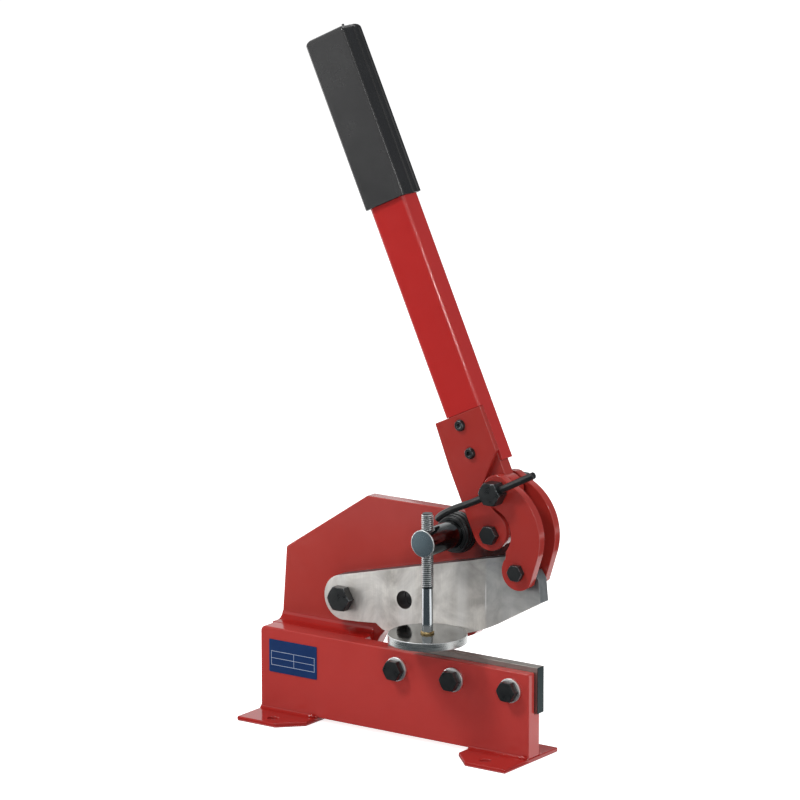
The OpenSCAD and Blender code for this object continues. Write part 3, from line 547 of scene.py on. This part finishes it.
# Plates and turned parts: a merged copy with its edges rounded. Node, piece, edge radius, material, slot
for node_name, piece_name, edge, material, slot in (
        ("front_beam", "beam_plate", 1.1, frame_enamel, "red_paint"),
        ("web_block", "ledge_block", 0.8, foot_enamel, "red_paint"),
        ("rear_plate", "arm_plate", 0.9, arm_enamel, "red_paint"),
        ("left_foot", "left_foot_plate", 1.0, foot_enamel, "red_paint"),
        ("right_foot", "right_foot_plate", 1.0, foot_enamel, "red_paint"),
        ("label_plate", "bare_label", 0.12, film_blue, "label_film"),
        ("lower_blade", "lower_blade_bar", 0.35, dark_steel, "blade_steel"),
        ("upper_blade", "upper_blade_plate", 0.35, blade_steel, "blade_steel"),
        ("lower_blade_washers", "bright_washers", 0.5, zinc, "zinc_steel"),
        ("blade_pivot_washer", "rear_washer_left", 0.35, zinc, "zinc_steel"),
        ("lever_pivot_washer", "rear_washer_right", 0.35, zinc, "zinc_steel"),
        ("hold_down_washer", "rear_washer_middle", 0.35, zinc, "zinc_steel"),
        ("lever_cheek", "cheek_plate", 0.6, plate_enamel, "red_paint"),
        ("lever_core", "core_plate", 0.7, plate_enamel, "red_paint"),
        ("handle_tube", "lever_tube", 0.3, tube_enamel, "red_paint"),
        ("front_link", "front_link_plate", 0.7, plate_enamel, "red_paint"),
        ("rear_link", "rear_link_plate", 0.7, plate_enamel, "red_paint"),
        ("hold_down_collar", "bar_collar", 0.5, black_oxide, "black_steel"),
        ("hold_down_foot", "clamp_foot", 0.5, disc_steel, "bright_chrome"),
        ("hold_down_bar", "clamp_bar", 0.7, chrome, "bright_chrome"),
        ("lower_blade_bolts", "lower_blade_bolt_set", 0.3, black_oxide, "black_steel"),
        ("blade_pivot_bolt", "blade_pivot_bolt_piece", 0.4, black_oxide, "black_steel"),
        ("blade_pivot_nut", "blade_pivot_nut_piece", 0.3, black_oxide, "black_steel"),
        ("lever_pivot_bolt", "lever_pivot_bolt_piece", 0.3, black_oxide, "black_steel"),
        ("lever_pivot_nut", "lever_pivot_nut_piece", 0.3, black_oxide, "black_steel"),
        ("link_lower_bolt", "link_lower_bolt_piece", 0.3, black_oxide, "black_steel"),
        ("link_lower_nut", "link_lower_nut_piece", 0.3, black_oxide, "black_steel"),
        ("link_upper_bolt", "link_upper_bolt_piece", 0.4, black_oxide, "black_steel"),
        ("link_upper_nut", "link_upper_nut_piece", 0.3, black_oxide, "black_steel"),
        ("hold_down_nut", "clamp_bar_nut", 0.3, black_oxide, "black_steel"),
        ("lever_screw_nuts", "lever_nut_set", 0.25, black_oxide, "black_steel"),
        ("lever_screws", "lever_screw_set", 0.25, black_oxide, "black_steel")):
    piece = merged(node_name, piece_name)
    # A pale rim is a painted highlight on the chamfer; a rubbed rim is wear and painted highlight together
    rim = crest_highlight_steel if node_name in RIM_PAINTED_HIGHLIGHT else None
    if material is black_oxide and node_name not in DULL_RIM:
        rim = edge_rubs_and_highlight
    if rim:
        piece.data.materials.append(material)
        piece.data.materials.append(rim)
        round_edges(piece, edge, material=1)
    else:
        round_edges(piece, edge)
    if rim is edge_rubs_and_highlight:
        # A head's flat end stays black, and only its rim gets the rubs and painted highlight
        for face in piece.data.polygons:
            if abs(face.normal.y) > 0.995:
                face.material_index = 0
    give(piece, None if rim else material, BODY_OF[node_name], slot, node_name)
    if node_name == "upper_blade":
        refinish(piece, blade_narrow_sides, lambda f: max(f.normal.x, f.normal.z) > 0.6)
    # The flat faces get the darker base, painted shade
    if node_name == "hold_down_foot":
        refinish(piece, disc_face, lambda f: abs(f.normal.z) > SQUARE)
    # The bar's round side gets the painted dark reflection
    if node_name == "hold_down_bar":
        refinish(piece, bar_side_dark_chrome, lambda f: abs(f.normal.y) < 0.01)
    # The walls of the round hole in the arm plate and the upper blade get painted shade
    if node_name in ("rear_plate", "upper_blade"):
        refinish(piece, bore_shade, lambda f: abs(f.normal.y) < 0.98 and math.hypot(
            f.center.x - CROP_X, f.center.z - CROP_Z) < CROP_REACH)

# Weld fillets in front of and behind the beam on each foot, hollow, each with a lump where its bead was ended
BEAD_FRONT, BEAD_BACK, LUMP_AT = 2.4, 4.9, 0.92
beam_low, beam_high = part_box("front_beam")
foot_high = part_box("left_foot")[1].z / MM
beads = []
for foot_node in ("left_foot", "right_foot"):
    first, last = (point.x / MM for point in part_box(foot_node))
    for near, side, size in ((beam_low.y / MM, -1, BEAD_FRONT), (beam_high.y / MM, 1, BEAD_BACK)):
        outer, crown = near + side * size, foot_high + size
        bead = block("bead", (first, min(near, outer), foot_high), (last, max(near, outer), crown))
        pick_edges(bead, lambda a, b: all(
            abs(v.y / MM - outer) < 0.01 and v.z / MM > crown - 0.01 for v in (a, b)))
        bpy.ops.mesh.bevel(offset=(size - 0.15) * MM, segments=7, profile=0.08, affect="EDGES",
                           clamp_overlap=False)
        done()
        beads.append(bead)
        lump_x = first + (last - first) * (LUMP_AT if side < 0 else 1 - LUMP_AT)
        bpy.ops.mesh.primitive_uv_sphere_add(
            segments=20, ring_count=12, radius=1, scale=(3.4 * MM, 1.5 * MM, 1.7 * MM),
            location=(lump_x * MM, (near + side * 1.6) * MM, (foot_high + 1.1) * MM))
        lump = new_piece("lump")
        set_place(lump)
        edit(lump)
        bpy.ops.transform.vertex_random(offset=0.25 * MM, seed=7)
        bpy.ops.mesh.vertices_smooth(repeat=2)
        done()
        beads.append(lump)
beads[0].name = "foot_weld_beads"
beads[0].data.name = "foot_weld_beads"
give(join(*beads), foot_enamel, "frame", "red_paint", "foot_welds")

# Braze where the screw meets the disc: a low lumpy ring
RING_R, BEAD_R = 4.6, 0.95
braze_low, braze_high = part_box("hold_down_braze")
braze_at = (braze_low + braze_high) / 2
bpy.ops.mesh.primitive_torus_add(
    major_segments=36, minor_segments=12, major_radius=RING_R * MM, minor_radius=BEAD_R * MM,
    location=(braze_at.x, braze_at.y, braze_low.z + 0.8 * MM))
ring = new_piece("braze_ring")
set_place(ring)
edit(ring)
bpy.ops.transform.vertex_random(offset=0.75 * MM, seed=3)
bpy.ops.mesh.vertices_smooth(repeat=1)
done()
give(ring, braze, "hold_down", "braze_brass", "hold_down_braze")

# Lock rod: a round bar bent in one soft curve, straight where it goes through the bolt head
ROD_R = 3
lock_low, lock_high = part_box("lock_rod")
lock_y = (lock_low.y + lock_high.y) / 2
bpy.ops.curve.primitive_bezier_curve_add(location=(0, 0, 0))
rod = new_piece("lock_rod_piece")
path = rod.data.splines[0]
path.bezier_points.add(2)
# Each point's place across and up, and how far on from it its handle stands
for point, (x, z, run, rise) in zip(path.bezier_points, (
        (43.9, 192.9, 4.6, 4.6), (58.3, 202.9, 7.5, 3.9), (83.6, 214.3, 9.0, 4.6),
        (139.2, 242.7, 8.9, 4.5))):
    point.handle_left_type = point.handle_right_type = "FREE"
    point.co = (x * MM, lock_y, z * MM)
    point.handle_left = ((x - run) * MM, lock_y, (z - rise) * MM)
    point.handle_right = ((x + run) * MM, lock_y, (z + rise) * MM)
rod.data.bevel_depth = ROD_R * MM
rod.data.bevel_resolution = 5
rod.data.resolution_u = 10
rod.data.use_fill_caps = True
only(rod)
bpy.ops.object.convert(target="MESH")
rod = bpy.context.object
edit(rod)
bpy.ops.mesh.remove_doubles(threshold=SAME_POINT)
bpy.ops.mesh.normals_make_consistent(inside=False)
done()
round_edges(rod, 0.7, sharp=60)
give(rod, black_oxide, BODY_OF["lock_rod"], "black_steel", "lock_rod")

# Grip: a moulded sleeve with rounded corners, a sunk panel on its front and back, and the nib of the mould on
# its closed end. It is made upright beside the lever pivot and then leant over with the lever
LEAN = math.radians(24.6)
PIVOT = Vector((89.75, 0, 184.2)) * MM
GRIP_LOW, GRIP_HIGH = (-5.9, 6.0, 284.8), (36.7, 32.2, 432.8)
# The rounding of the corners and of the closed end, and how deep the hollow for the tube goes
GRIP_CORNER, GRIP_ROUND, GRIP_HOLLOW, RINGS = 2.2, 4.8, 146, 7
grip = block("grip_sleeve", GRIP_LOW, (GRIP_HIGH[0], GRIP_HIGH[1], GRIP_HIGH[2] - GRIP_ROUND))
pick_edges(grip, lambda a, b: abs(a.z - b.z) > 0.01)
bpy.ops.mesh.bevel(offset=GRIP_CORNER * MM, segments=6, profile=0.5, affect="EDGES", clamp_overlap=False)
done()
# How deep each panel is sunk at places along y, with a low rib near the back
SINK = {9.5: 0, 10.4: 0.9, 20.6: 0.9, 21.8: 0.1, 22.6: 0.1, 23.8: 0.9, 27.6: 0.9, 28.6: 0}
for y in SINK:
    edit(grip)
    bpy.ops.mesh.bisect(plane_co=(0, y * MM, 0), plane_no=(0, 1, 0))
    done()
for y, depth in SINK.items():
    for side, x in ((-1, GRIP_LOW[0]), (1, GRIP_HIGH[0])):
        pick_edges(grip, lambda a, b: all(
            abs(v.y - y * MM) < SAME_POINT and abs(v.x - x * MM) < SAME_POINT for v in (a, b)))
        bpy.ops.transform.translate(value=(-side * depth * MM, 0, 0))
        done()
pick_faces(grip, lambda f: f.normal.z > SQUARE)
bpy.ops.mesh.dissolve_faces()
done()
# The closed end is rounded over in rings
grip_mid = [(a + b) / 2 * MM for a, b in zip(GRIP_LOW, GRIP_HIGH)]
wide, deep = ((GRIP_HIGH[i] - GRIP_LOW[i]) / 2 for i in (0, 1))
pick_faces(grip, lambda f: f.normal.z > SQUARE)
turns = [math.radians(90 * i / RINGS) for i in range(RINGS + 1)]
for before, after in zip(turns, turns[1:]):
    taken, taking = (GRIP_ROUND * (1 - math.cos(turn)) for turn in (before, after))
    bpy.ops.mesh.extrude_region_move(TRANSFORM_OT_translate={
        "value": (0, 0, GRIP_ROUND * (math.sin(after) - math.sin(before)) * MM)})
    bpy.ops.transform.resize(value=((wide - taking) / (wide - taken), (deep - taking) / (deep - taken), 1),
                             center_override=grip_mid)
done()
pick_faces(grip, lambda f: f.normal.z < -SQUARE)
bpy.ops.mesh.dissolve_faces()
done()
# The mouth: a small lip, the thickness of the wall, and the hollow
pick_faces(grip, lambda f: f.normal.z < -SQUARE)
bpy.ops.mesh.inset(thickness=0.7 * MM, depth=0.4 * MM)
bpy.ops.mesh.inset(thickness=2.4 * MM, depth=0)
bpy.ops.mesh.extrude_region_move(TRANSFORM_OT_translate={"value": (0, 0, GRIP_HOLLOW * MM)})
done()
bpy.ops.mesh.primitive_cylinder_add(vertices=16, radius=1.1 * MM, depth=4 * MM,
                                    location=(27 * MM, 21 * MM, (GRIP_HIGH[2] + 0.6) * MM))
nib = new_piece("nib")
set_place(nib)
round_edges(nib, 0.5)
join(grip, nib)
edit(grip)
bpy.ops.mesh.normals_make_consistent(inside=False)
done()
grip.location = PIVOT
grip.rotation_euler = (0, -LEAN, 0)
set_place(grip)
give(grip, pvc, "lever", "grip_plastic", "handle_grip")

# Clamp screw: a plain shank up from the foot, then the thread
SHANK_R, THREAD_D, PITCH, THREAD_LONG = 4.6, 10, 1.7, 63
screw_low, screw_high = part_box("hold_down_screw")
screw_at = (screw_low + screw_high) / 2
shank_long = (screw_high.z - screw_low.z) / MM - THREAD_LONG
bpy.ops.mesh.primitive_cylinder_add(vertices=48, radius=SHANK_R * MM, depth=shank_long * MM,
                                    location=(screw_at.x, screw_at.y, screw_low.z + shank_long / 2 * MM))
shank = new_piece("clamp_screw")
set_place(shank)
shank.data.materials.append(chrome)
# The thread's bottoms carry painted shade and its crests a painted highlight
turned_thread = thread_along_z("clamp_thread", THREAD_LONG, THREAD_D, PITCH, crest_highlight_steel, thread_bottom_shade)
turned_thread.location = (screw_at.x, screw_at.y, screw_low.z + shank_long * MM)
set_place(turned_thread)
join(shank, turned_thread)
give(shank, None, "hold_down", "bright_chrome", "hold_down_screw")


# Studio


def white_seen(tree):
    """Tells a ray that shows the surroundings, straight, mirrored or through glass, from one that lights."""
    ray = node(tree, "ShaderNodeLightPath")
    seen = node(tree, "ShaderNodeMath", {0: ray.outputs["Is Camera Ray"], 1: ray.outputs["Is Glossy Ray"]},
                operation="MAXIMUM")
    return node(tree, "ShaderNodeMath", {0: seen.outputs[0], 1: ray.outputs["Is Transmission Ray"]},
                operation="MAXIMUM").outputs[0]


bpy.ops.mesh.primitive_plane_add(size=60, location=(0, 0, 0))
floor = new_piece("studio_floor")
paper, tree, _ = start("white_paper_floor")
seen = white_seen(tree)
matt = node(tree, "ShaderNodeBsdfDiffuse", {"Color": (0.8, 0.8, 0.8, 1.0)})
glow = node(tree, "ShaderNodeEmission", {"Color": (1, 1, 1, 1), "Strength": 0.84})
both = node(tree, "ShaderNodeAddShader", {0: matt.outputs[0], 1: glow.outputs[0]})
end(tree, node(tree, "ShaderNodeMixShader", {0: seen, 1: matt.outputs[0], 2: both.outputs[0]}))
floor.data.materials.append(paper)

world = bpy.data.worlds.new("white_studio")
bpy.context.scene.world = world
world.use_nodes = True
tree = world.node_tree
tree.nodes.clear()
seen = white_seen(tree)
dim = node(tree, "ShaderNodeBackground", {"Color": (1, 1, 1, 1), "Strength": 0.26})
white = node(tree, "ShaderNodeBackground", {"Color": (1, 1, 1, 1), "Strength": 1.0})
mixed = node(tree, "ShaderNodeMixShader", {0: seen, 1: dim.outputs[0], 2: white.outputs[0]})
node(tree, "ShaderNodeOutputWorld", {"Surface": mixed.outputs[0]})

# What the camera and the lamps point at
TARGET = Vector((8.6, -4.9, 289.3)) * MM


def softbox(name, azimuth, elevation, distance, size, watts, mirrored=True):
    """A square area light that faces the object. Azimuth 0 is in front, 90 on the right."""
    a, e = math.radians(azimuth), math.radians(elevation)
    away = Vector((math.sin(a) * math.cos(e), -math.cos(a) * math.cos(e), math.sin(e)))
    bpy.ops.object.light_add(type="AREA", location=TARGET + away * distance)
    lamp = bpy.context.object
    lamp.name = name
    lamp.data.size = size
    lamp.data.energy = watts
    lamp.rotation_euler = away.to_track_quat("Z", "Y").to_euler()
    lamp.visible_glossy = mirrored


def grey_flat(name, corners, colour):
    """A flat out of the picture, which only polished surfaces see. Its corners are in metres."""
    bpy.ops.mesh.primitive_plane_add(size=1)
    flat = new_piece(name)
    for vertex, corner in zip(flat.data.vertices, corners):
        vertex.co = corner
    cloth, tree, _ = start(name + "_cloth")
    end(tree, node(tree, "ShaderNodeEmission", {"Color": sheen_of(colour), "Strength": 1.0}))
    flat.data.materials.append(cloth)
    flat.visible_camera = False
    flat.visible_diffuse = False
    flat.visible_shadow = False
    flat.visible_transmission = False


softbox("softbox_left", -38, 48, 2.2, 0.5, 29)
softbox("softbox_right", 100, 34, 2.4, 1.2, 25, mirrored=False)
softbox("softbox_top", -150, 62, 2.2, 1.4, 15)
softbox("softbox_camera", 42, 22, 2.4, 0.14, 9)
softbox("softbox_low", -62, -3, 1.5, 0.5, 4.4)

# A narrow pale card on the floor, which the front end of the cross bar mirrors on its left half
grey_flat("pale_card", ((-0.62, -0.66, 0.006), (-0.445, -0.73, 0.006), (-0.5, -0.5, 0.006),
                        (-0.33, -0.57, 0.006)), "#a9c0c9")
grey_flat("grey_flat_front", ((-2.26, -3.0, 0.0015), (3.6, -2.6, 0.0015), (-0.2, -0.004, 0.0015),
                              (0.4, -0.004, 0.0015)), "#545c61")
grey_flat("grey_flat_right", ((0.9, 0.6, 0.12), (0.2, 2.4, 0.12), (0.9, 0.6, 2.2), (0.2, 2.4, 2.2)),
          "#82868a")
grey_flat("grey_flat_standing", ((-1.2, 1.6, 0.01), (1.0, 1.6, 0.01), (-1.2, 1.6, 0.62), (1.0, 1.6, 0.62)),
          "#8d9091")
grey_flat("grey_flat_overhead", ((-3.5, -3.5, 2.6), (3.5, -3.5, 2.6), (-3.5, 3.5, 2.6), (3.5, 3.5, 2.6)),
          "#7a7d7e")
grey_flat("grey_flat_behind", ((0.3, 0.22, 0.004), (1.1, 0.5, 0.004), (0.1, 0.5, 0.004), (0.5, 1.4, 0.004)),
          "#4a4f52")

# Camera, at the photograph's angle
AZIMUTH, ELEVATION, ROLL, DISTANCE, LENS = 35.258, 12.085, -0.08, 3676.7, 201.5
a, e, r = (math.radians(v) for v in (AZIMUTH, ELEVATION, ROLL))
back = Vector((math.sin(a) * math.cos(e), -math.cos(a) * math.cos(e), math.sin(e)))
right = Vector((math.cos(a), math.sin(a), 0))
up = back.cross(right)
right, up = math.cos(r) * right + math.sin(r) * up, math.cos(r) * up - math.sin(r) * right
lens = bpy.data.cameras.new("photo_camera")
lens.lens = LENS
lens.sensor_width = 36
camera = bpy.data.objects.new("photo_camera", lens)
bpy.context.scene.collection.objects.link(camera)
stand = TARGET + back * DISTANCE * MM
camera.matrix_world = Matrix(((right.x, up.x, back.x, stand.x), (right.y, up.y, back.y, stand.y),
                              (right.z, up.z, back.z, stand.z), (0, 0, 0, 1)))
bpy.context.scene.camera = camera
bpy.context.scene.view_settings.view_transform = "Standard"
